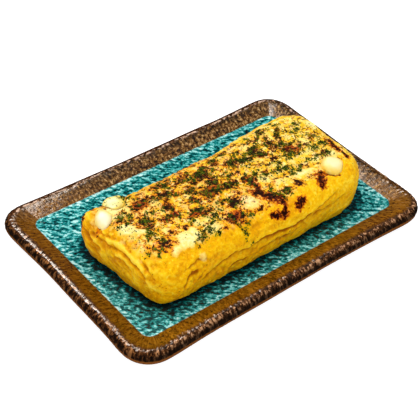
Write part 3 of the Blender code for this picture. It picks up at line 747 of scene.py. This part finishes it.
def make_omelette():
    egg = merged_copy("omelette", "rolled_egg")
    finish_with(egg, "SUBSURF", levels=2, render_levels=2)
    finish_with(egg, "REMESH", mode="VOXEL", voxel_size=0.6 * MM)
    dissolve_flat(egg, -1, loaf_low.z)
    places = points_of(egg)
    normals = normals_of(egg)
    free = smoothstep(0.2 * MM, 3.0 * MM, places[:, 2] - loaf_low.z)
    top = smoothstep(0.35, 0.85, normals[:, 2]) * free
    corner = np.exp(-((np.linalg.norm(places / MM - (-75, -38, 33), axis=1) / 10.0) ** 2))
    sides = 1.0 - 0.45 * smoothstep(0.6, 0.95, normals[:, 2]) + 1.6 * corner
    lumps = 0.50 * unevenness(places, 11.0 * MM, 1.0) + 0.50 * unevenness(places, 5.5 * MM, 2.0)
    bubbles = 0.42 * unevenness(places, 2.8 * MM, 3.0) + 0.24 * unevenness(places, 1.6 * MM, 4.0)
    shake = np.stack([unevenness(places, 3.5 * MM, seed) for seed in (5.0, 6.0, 7.0)], axis=1)
    shaken = places + 0.8 * MM * shake
    folds = np.zeros(len(places))
    for line, width, stand, lip in FRONT_FOLDS + LEFT_FOLDS:
        folds += fold(shaken, line, width, stand, lip)
    folds += wrinkles(shaken, normals) - pressed_in(places)
    lobes = covered(wandered(places, 4.0 * MM, 1.4 * MM, 6.0), LOBES, 0.7)
    under_dollops = np.zeros(len(places))
    for node in DOLLOPS:
        low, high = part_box(node)
        off = (places[:, :2] - np.array((low + high) / 2.0)[:2]) / np.array((high - low) / 2.0 + Vector((MM, MM, 0)))[:2]
        under_dollops = np.maximum(under_dollops, 1.0 - smoothstep(0.8, 1.3, np.hypot(off[:, 0], off[:, 1])))
    sauce_relief = 0.95 * np.sqrt(np.clip(lobes, 0.0, 1.5)) * top * (1.0 - under_dollops)
    browned = covered(wandered(places, 3.0 * MM, 1.8 * MM, 7.0), BROWNED, 0.6)
    charred = charred_lines(wandered(places, 2.6 * MM, 1.5 * MM, 8.0)) * (1.0 + 0.5 * unevenness(places, 2.2 * MM, 17.0))
    crust = top * (0.22 * unevenness(places, 1.9 * MM, 15.0) + 0.16 * unevenness(places, 1.1 * MM, 16.0))
    crust *= 1.0 - 0.7 * np.clip(lobes, 0.0, 1.0)
    relief = lumps + bubbles * sides + folds + sauce_relief + crust
    fine_relief = folds + 0.9 * bubbles * sides + crust
    relief -= under_dollops * np.clip(relief, 0.0, None)
    move = normals * ((relief - 0.2) * MM)[:, None]
    move[:, 2] *= free
    move[:, :2] *= smoothstep(0.0, 0.35, np.hypot(normals[:, 0], normals[:, 1]))[:, None]
    set_points(egg, places + move)
    sprinkled = sprinkled_share(places, top)
    spread = smoothstep(-40.0, -30.0, places[:, 1] / MM) * top
    spread *= np.clip(0.11 + 0.6 * unevenness(places, 6.0 * MM, 9.0) + 0.6 * unevenness(places, 2.5 * MM, 10.0), 0.0, 0.9)
    sauce = smoothstep(0.1, 1.1, lobes) * smoothstep(0.2, 0.6, normals[:, 2])
    keep_number(egg, "sauce", np.clip(np.maximum(sauce, spread), 0.0, 1.0))
    browned *= smoothstep(24.0, 33.0, places[:, 2] / MM)
    middle = np.exp(-(((places[:, 0] / MM + 8.0) / 30.0) ** 2)) - 0.6 * smoothstep(30.0, 60.0, places[:, 0] / MM)
    browned = np.clip(browned + 0.17 * middle * sprinkled, 0.0, 1.0)
    gathered = smoothstep(0.05, 0.45, unevenness(places, 6.0 * MM, 20.0)) * sprinkled
    keep_number(egg, "browned", np.maximum(browned, 0.75 * gathered * (1.0 - np.clip(1.3 * sauce, 0.0, 1.0))))
    keep_number(egg, "charred", charred)
    keep_number(egg, "sprinkled", sprinkled)
    # painted shadow along the base where the omelette meets the plate, and painted shade in the grooves
    contact_shadow = 0.85 * (1.0 - smoothstep(0.2 * MM, 1.7 * MM, places[:, 2] - loaf_low.z))
    left_end = smoothstep(0.25, 0.7, -normals[:, 0])
    hollow_shade = np.clip(-fine_relief / 0.9, 0.0, 1.0) * (1.0 - 0.3 * left_end)
    hollow_shade *= 1.0 - 0.45 * smoothstep(25.0, 60.0, places[:, 0] / MM)
    keep_number(egg, "hollow_shade", np.maximum(hollow_shade, contact_shadow))
    # height of the raised folds, for the painted highlight on ridges
    keep_number(egg, "crest_highlight", np.clip(fine_relief / 0.8, 0.0, 2.0))
    egg.data.shade_smooth()
    egg.data.materials.clear()
    egg.data.materials.append(egg_skin())
    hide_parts("omelette")
    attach(egg, "root")
    return egg


def egg_skin():
    mix = Recipe("browned folded egg")
    place = mix.object_place()
    grain = mix.spread(mix.noise(place, 1.6 * MM, 3.0, 0.65), 0.3, 0.7)
    cloud = mix.spread(mix.noise(place, 8.0 * MM, 3.0, 0.6), 0.3, 0.7)
    tone = mix.maths("ADD", mix.maths("MULTIPLY", grain, 0.50), mix.maths("MULTIPLY", cloud, 0.45))
    axes = mix.tree.nodes.new("ShaderNodeSeparateXYZ")
    mix.feed(axes.inputs["Vector"], place)
    # painted shade: the left end, which faces away from the light, is darker and more orange
    tone = mix.maths("ADD", tone, mix.spread(axes.outputs["X"], -0.086, -0.072, -0.38, 0.0))
    tone = mix.maths("ADD", tone, mix.spread(axes.outputs["X"], -0.03, 0.07, 0.0, 0.14))
    colour = mix.ramp(
        tone,
        ((0.1, paint(212, 138, 0)), (0.4, paint(238, 168, 0)), (0.65, paint(247, 193, 4)), (0.88, paint(253, 212, 52))),
    )
    colour = mix.blend(mix.kept("sprinkled"), colour, mix.blend(0.5, colour, paint(253, 210, 42)))
    creamy = mix.spread(mix.noise(place, 3.4 * MM, 2.0, 0.6), 0.50, 0.64, 0.0, 0.8)
    colour = mix.blend(mix.maths("MULTIPLY", creamy, mix.kept("sprinkled")), colour, paint(253, 233, 150))
    # painted highlight: raised folds and ridges paler, as where they catch the light
    colour = mix.blend(mix.spread(mix.kept("crest_highlight"), 0.15, 1.0, 0.0, 0.65), colour, paint(252, 208, 28))
    colour = mix.blend(mix.spread(mix.kept("crest_highlight"), 0.9, 1.5, 0.0, 0.65), colour, paint(253, 218, 66))
    # painted shade: grooves and the base darker orange
    colour = mix.blend(mix.spread(mix.kept("hollow_shade"), 0.05, 0.9, 0.0, 0.92), colour, paint(158, 82, 0))
    sauce = mix.maths("ADD", mix.kept("sauce"), mix.maths("MULTIPLY", mix.maths("SUBTRACT", grain, 0.5), 0.4))
    colour = mix.blend(mix.spread(sauce, 0.1, 0.9, 0.0, 0.9), colour, paint(252, 226, 128))
    colour = mix.blend(mix.spread(sauce, 0.85, 1.15, 0.0, 0.7), colour, paint(252, 238, 186))
    warm = mix.spread(axes.outputs["X"], -0.01, 0.045, 1.0, 0.45)
    colour = crust_colour(mix, place, colour, warm)
    fine = mix.noise(place, 0.8 * MM, 2.0)
    normal = mix.bump(grain, 0.35 * MM, 0.6, mix.bump(fine, 0.14 * MM, 0.5))
    mix.set(Base_Color=colour, Normal=normal)
    mix.set(Roughness=mix.spread(cloud, 0.0, 1.0, 0.42, 0.60))
    mix.shader.inputs["Subsurface Weight"].default_value = 0.08
    mix.shader.inputs["Subsurface Radius"].default_value = (1.0, 0.4, 0.05)
    mix.shader.inputs["Subsurface Scale"].default_value = 1.2 * MM
    mix.shader.inputs["Specular IOR Level"].default_value = 0.06
    return mix.material


def crust_colour(mix, place, colour, warm):
    """Orange, brown and nearly black crumbs of crust, thicker where the egg browned or charred."""
    crumb = mix.spread(mix.noise(place, 1.5 * MM, 2.0, 0.65, 0.5), 0.3, 0.7)
    patch = mix.spread(mix.noise(place, 4.5 * MM, 3.0, 0.6), 0.3, 0.7)
    charred = mix.kept("charred")
    bare = mix.spread(mix.kept("sauce"), 0.0, 0.8, 0.42, 0.0)
    ground = mix.maths("MULTIPLY", mix.kept("sprinkled"), bare)
    ground = mix.maths("MULTIPLY", ground, mix.spread(warm, 0.45, 1.0, 0.88, 1.0))
    browned = mix.maths("MAXIMUM", mix.kept("browned"), ground)
    mixed = mix.maths("ADD", mix.maths("MULTIPLY", crumb, 0.6), mix.maths("MULTIPLY", patch, 0.4))
    dark = mix.maths("SUBTRACT", mix.maths("ADD", mixed, mix.maths("MULTIPLY", browned, 0.64)), 0.82)
    glow = mix.maths("MULTIPLY", mix.spread(dark, -0.14, 0.06), mix.spread(browned, 0.0, 0.3))
    near_brown = mix.spread(mix.kept("browned"), 0.03, 0.55)
    halo = mix.maths("MULTIPLY", near_brown, mix.spread(crumb, 0.25, 0.7, 0.25, 0.85))
    colour = mix.blend(mix.maths("MULTIPLY", halo, warm), colour, paint(228, 118, 4))
    colour = mix.blend(mix.maths("MULTIPLY", glow, mix.maths("MULTIPLY", warm, 0.85)), colour, paint(220, 112, 2))
    colour = mix.blend(mix.spread(dark, 0.0, 0.14, 0.0, 0.95), colour, paint(134, 54, 1))
    colour = mix.blend(mix.spread(dark, 0.08, 0.22, 0.0, 0.97), colour, paint(30, 13, 1))
    burnt = mix.maths("ADD", charred, mix.maths("MULTIPLY", mix.maths("SUBTRACT", crumb, 0.5), 1.0))
    burnt = mix.maths("MULTIPLY", burnt, mix.spread(charred, 0.0, 0.2))
    colour = mix.blend(mix.spread(burnt, 0.02, 0.42, 0.0, 0.85), colour, paint(218, 104, 4))
    colour = mix.blend(mix.spread(burnt, 0.40, 0.68, 0.0, 0.95), colour, paint(122, 34, 2))
    return mix.blend(mix.spread(burnt, 0.64, 0.95), colour, paint(34, 8, 3))


# ---------------------------------------------------------------- mayonnaise


def mayonnaise_finish(name, thin, thick):
    """Mayonnaise that lets the egg show through where it is thin."""
    mix = Recipe(name)
    place = mix.object_place()
    cloud = mix.spread(mix.noise(place, 4.0 * MM, 3.0), 0.3, 0.7, -0.2, 0.2)
    colour = mix.blend(mix.spread(mix.maths("ADD", mix.kept("thickness"), cloud), 0.0, 0.9), thin, thick)
    normal = mix.bump(mix.noise(place, 2.2 * MM, 2.0), 0.2 * MM, 0.5)
    mix.set(Base_Color=colour, Normal=normal, Roughness=0.4)
    mix.shader.inputs["Subsurface Weight"].default_value = 0.2
    mix.shader.inputs["Subsurface Radius"].default_value = (1.0, 0.7, 0.3)
    mix.shader.inputs["Subsurface Scale"].default_value = 1.6 * MM
    mix.shader.inputs["Specular IOR Level"].default_value = 0.3
    return mix.material


def make_dollop(node, name, finish, thickest, lumps, fuller):
    dollop = merged_copy(node, name)
    finish_with(dollop, "REMESH", mode="VOXEL", voxel_size=0.40 * MM)
    finish_with(dollop, "SMOOTH", factor=0.5, iterations=8)
    places = points_of(dollop)
    normals = normals_of(dollop)
    relief = lumps * (unevenness(places, 4.0 * MM, 1.0) + 0.4 * unevenness(places, 2.0 * MM, 2.0))
    underneath = smoothstep(0.1, -0.4, normals[:, 2])
    set_points(dollop, places + normals * ((relief + fuller + 0.25 * underneath) * MM)[:, None])
    low = np.array(places.min(axis=0))
    half = (places.max(axis=0) - low) / 2.0
    off = (places - (low + half) - half * (*thickest, 0.0)) / half
    far = np.hypot(off[:, 0], off[:, 1])
    keep_number(dollop, "thickness", 1.0 - smoothstep(0.25, 1.15, far))
    dollop.data.shade_smooth()
    dollop.data.materials.clear()
    dollop.data.materials.append(finish)
    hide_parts(node)
    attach(dollop, "root")
    return dollop


# ---------------------------------------------------------------- seaweed flakes

# Where the flakes gathered on the top.
SPRINKLED = (
    (-58, 13), (-63, 3), (-70, 0), (-72, -5), (-53, 5), (-41, 5), (-36, 12), (-29, 11), (-35, 2), (-61, -9),
    (-50, -5), (-57, -9), (-41, -7), (-47, -15), (-39, -20), (-63, -18), (-64, -21), (-66, -32), (-42, -28),
    (-44, -38), (-38, -36), (-35, -38), (-29, -23), (-27, -30), (-31, -31), (-28, -13), (-24, -2), (-23, -7),
    (-20, 5), (-16, 5), (-9, 6), (-5, 6), (-13, -8), (-17, -11), (-12, -12), (-4, -13), (-8, -5), (-20, -24),
    (-13, -24), (-8, -26), (-20, -34), (-9, -37), (-16, -46), (3, -4), (2, 12), (1, -13), (10, -13), (9, 3),
    (16, 3), (20, 1), (19, -13), (23, -18), (15, 8), (27, 3), (30, 6), (32, 2), (36, 2), (20, -6), (33, -14),
    (31, -19), (34, -19), (36, -20), (35, -24), (34, 14), (43, 15), (48, 16), (56, 9), (68, 10), (63, 3),
    (45, -3), (47, -1), (46, -10), (54, -8), (49, -10), (44, -12), (60, -14), (63, -18), (69, -14), (55, -21),
    (64, -24), (23, -34), (12, -29), (16, -34), (68, -5), (59, 19), (39, -24),
)
CLUMPS_IN_CLUSTER = (4, 7)
FLAKES_IN_CLUMP = (5, 9)
CLUSTER_SPREAD = 2.4 * MM
CLUMP_SPREAD = 0.9 * MM
LOOSE_FLAKES = 1900


def flake_shape(seed):
    """One curled scrap of leaf, about 1 mm across, as points and triangles."""
    draw = random.Random(seed)
    bpy.ops.object.select_all(action="DESELECT")
    bpy.ops.mesh.primitive_circle_add(vertices=7, radius=0.5 * MM, fill_type="TRIFAN")
    scrap = bpy.context.object
    for vert in scrap.data.vertices:
        reach = draw.uniform(0.55, 1.35)
        vert.co.x *= reach * 1.25
        vert.co.y *= reach * 0.75
        vert.co.z = draw.uniform(-0.10, 0.10) * MM + 900.0 * vert.co.x**2 * draw.uniform(0.4, 1.0)
    finish_with(scrap, "SOLIDIFY", thickness=0.09 * MM, offset=0.0)
    finish_with(scrap, "TRIANGULATE")
    points = points_of(scrap)
    triangles = np.array([tuple(face.vertices) for face in scrap.data.polygons])
    bpy.data.objects.remove(scrap)
    return points, triangles


def flake_places(draw):
    for x, y in SPRINKLED:
        for _ in range(draw.randint(*CLUMPS_IN_CLUSTER)):
            clump_x = x * MM + draw.gauss(0.0, CLUSTER_SPREAD)
            clump_y = y * MM + draw.gauss(0.0, CLUSTER_SPREAD)
            for _ in range(draw.randint(*FLAKES_IN_CLUMP)):
                yield clump_x + draw.gauss(0.0, CLUMP_SPREAD), clump_y + draw.gauss(0.0, CLUMP_SPREAD), 0.9
    for _ in range(LOOSE_FLAKES):
        x = draw.uniform(-78.0, 78.0)
        y = draw.triangular(-40.0, 21.0, 2.0)
        yield x * MM, y * MM, 0.55


def top_of(pieces, x, y):
    """Highest point of these pieces at this place, and the way it faces."""
    hits = [piece.ray_cast(Vector((x, y, 0.1)), Vector((0.0, 0.0, -1.0))) for piece in pieces]
    hits = [hit for hit in hits if hit[0] is not None]
    return max(hits, key=lambda hit: hit[0].z)[:2] if hits else (None, None)


def make_flakes(sprinkled, bare):
    """Scatters the flakes on the sprinkled pieces, where no bare one lies over them."""
    view = bpy.context.evaluated_depsgraph_get()
    sprinkled = [BVHTree.FromObject(piece, view) for piece in sprinkled]
    bare = [BVHTree.FromObject(piece, view) for piece in bare]
    draw = random.Random(21)
    shapes = [flake_shape(seed) for seed in range(8)]
    all_points = []
    all_triangles = []
    tones = []
    count = 0
    for x, y, scale in flake_places(draw):
        hit, normal = top_of(sprinkled, x, y)
        if hit is None or hit.z < 0.025 or top_of(bare, x, y)[0] is not None:
            continue
        points, triangles = shapes[draw.randrange(len(shapes))]
        size = scale * draw.uniform(0.7, 1.55)
        tilt = Vector((draw.uniform(-0.55, 0.55), draw.uniform(-0.55, 0.55), 0.0))
        facing = (normal + tilt).to_track_quat("Z", "Y").to_matrix()
        turn = Matrix.Rotation(draw.uniform(0.0, 2.0 * math.pi), 3, "Z")
        frame_of_flake = np.array(facing @ turn)
        lifted = hit + normal * draw.uniform(0.05, 0.35) * MM
        all_points.append((points * size) @ frame_of_flake.T + np.array(lifted))
        all_triangles.append(triangles + count)
        tones.append(np.full(len(points), draw.random()))
        count += len(points)
    mesh = bpy.data.meshes.new("seaweed_flakes")
    mesh.from_pydata(np.concatenate(all_points).tolist(), [], np.concatenate(all_triangles).tolist())
    flakes = bpy.data.objects.new("seaweed_flakes", mesh)
    bpy.context.scene.collection.objects.link(flakes)
    keep_number(flakes, "tone", np.concatenate(tones))
    flakes.data.materials.append(dried_seaweed())
    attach(flakes, "root")
    print("flakes", len(tones), "triangles", len(mesh.polygons))
    return flakes


def dried_seaweed():
    mix = Recipe("dried green seaweed")
    place = mix.object_place()
    tone = mix.maths("ADD", mix.kept("tone"), mix.maths("MULTIPLY", mix.noise(place, 0.6 * MM, 2.0), 0.3))
    colour = mix.ramp(
        mix.spread(tone, 0.0, 1.3),
        ((0.0, paint(18, 14, 2)), (0.3, paint(30, 36, 2)), (0.6, paint(62, 84, 3)), (1.0, paint(132, 142, 12))),
    )
    mix.set(Base_Color=colour, Roughness=0.7)
    mix.shader.inputs["Specular IOR Level"].default_value = 0.12
    mix.set(Normal=mix.bump(mix.noise(place, 0.3 * MM, 2.0), 0.05 * MM, 0.5))
    return mix.material


# ---------------------------------------------------------------- studio

ROOM_LIGHT = 0.36
MIRRORED_ROOM = 0.03


def aimed(obj, place, target):
    direction = Vector(target) - Vector(place)
    obj.location = place
    obj.rotation_euler = direction.to_track_quat("-Z", "Y").to_euler()


def softbox(name, place, size, power, lights=True, mirrored=True, colour=(1.0, 1.0, 1.0)):
    """A round lamp aimed at the plate. It can light the plate, show in the glaze, or both."""
    data = bpy.data.lights.new(name, "AREA")
    data.shape = "DISK"
    data.size = size
    data.energy = power
    data.color = colour
    lamp = bpy.data.objects.new(name, data)
    bpy.context.scene.collection.objects.link(lamp)
    lamp.visible_diffuse = lights
    lamp.visible_glossy = mirrored
    aimed(lamp, place, (0.0, 0.0, 0.02))


def make_studio():
    bpy.ops.object.select_all(action="DESELECT")
    bpy.ops.mesh.primitive_plane_add(size=6.0, location=(0.0, 0.0, -0.0002))
    table = bpy.context.object
    table.name = "pale_table"
    mix = Recipe("pale table")
    tone = mix.noise(mix.object_place(), 30.0 * MM, 2.0)
    mix.set(Base_Color=mix.ramp(tone, ((0.3, paint(160, 160, 160)), (0.7, paint(166, 166, 166)))), Roughness=0.8)
    mix.shader.inputs["Emission Color"].default_value = (1.0, 1.0, 1.0, 1.0)
    mix.shader.inputs["Emission Strength"].default_value = 0.9
    table.data.materials.append(mix.material)
    table.visible_glossy = False
    softbox("back lamp", (-0.24, 0.58, 0.73), 0.22, 3.6)
    softbox("back halo", (-0.22, 0.58, 0.75), 0.34, 2.2, lights=False, colour=(1.0, 0.74, 0.50))
    softbox("streak lamp", (-0.02, 0.57, 0.82), 0.26, 3.8, lights=False, colour=(1.0, 0.84, 0.68))
    softbox("overhead lamp", (0.12, 0.11, 0.94), 0.22, 1.8, mirrored=False)
    softbox("corner lamp", (0.20, 0.22, 0.93), 0.24, 3.4, lights=False, colour=(1.0, 0.90, 0.80))
    softbox("right panel", (0.48, 0.02, 0.82), 0.80, 0.4, colour=(1.0, 0.90, 0.80))
    softbox("right fill", (0.50, 0.04, 0.80), 0.90, 3.6, mirrored=False)
    softbox("front panel", (-0.70, -0.65, 0.50), 0.60, 4.0, mirrored=False)
    make_room()
    bpy.context.scene.view_settings.view_transform = "Standard"


def make_room():
    """An even white room, dim where the glaze mirrors it."""
    world = bpy.data.worlds.new("studio")
    world.use_nodes = True
    tree = world.node_tree
    background = tree.nodes["Background"]
    background.inputs["Color"].default_value = (1.0, 1.0, 1.0, 1.0)
    rays = tree.nodes.new("ShaderNodeLightPath")
    dimmer = tree.nodes.new("ShaderNodeMapRange")
    dimmer.inputs["To Min"].default_value = ROOM_LIGHT
    dimmer.inputs["To Max"].default_value = MIRRORED_ROOM
    tree.links.new(rays.outputs["Is Glossy Ray"], dimmer.inputs["Value"])
    tree.links.new(dimmer.outputs["Result"], background.inputs["Strength"])
    bpy.context.scene.world = world


def make_camera():
    data = bpy.data.cameras.new("camera")
    data.lens = 91.74
    data.sensor_width = 36.0
    camera = bpy.data.objects.new("camera", data)
    bpy.context.scene.collection.objects.link(camera)
    azimuth, elevation, roll = math.radians(-41.38), math.radians(41.07), math.radians(3.71)
    stand = Matrix.Rotation(azimuth, 4, "Z") @ Matrix.Rotation(math.pi / 2.0 - elevation, 4, "X")
    back = stand.to_3x3() @ Vector((0.0, 0.0, 1.0))
    target = Vector((-0.001355, 0.004735, 0.0095))
    camera.matrix_world = Matrix.Translation(target + back * 0.65135) @ stand @ Matrix.Rotation(roll, 4, "Z")
    bpy.context.scene.camera = camera


make_camera()
make_studio()
make_plate()
egg = make_omelette()
cream = mayonnaise_finish("pale mayonnaise", paint(244, 214, 104), paint(250, 240, 206))
greenish = mayonnaise_finish("thin mayonnaise", paint(242, 206, 60), paint(246, 238, 172))
golden = mayonnaise_finish("warm mayonnaise", paint(244, 206, 84), paint(249, 233, 176))
left = make_dollop("mayonnaise_left", "dollop_left", cream, (-0.15, -0.3), 0.4, 0.5)
back = make_dollop("mayonnaise_back", "dollop_back", greenish, (-0.45, -0.1), 0.8, 0.2)
right = make_dollop("mayonnaise_right", "dollop_right", golden, (0.1, 0.0), 0.4, 1.0)
make_flakes((egg, back), (left, right))
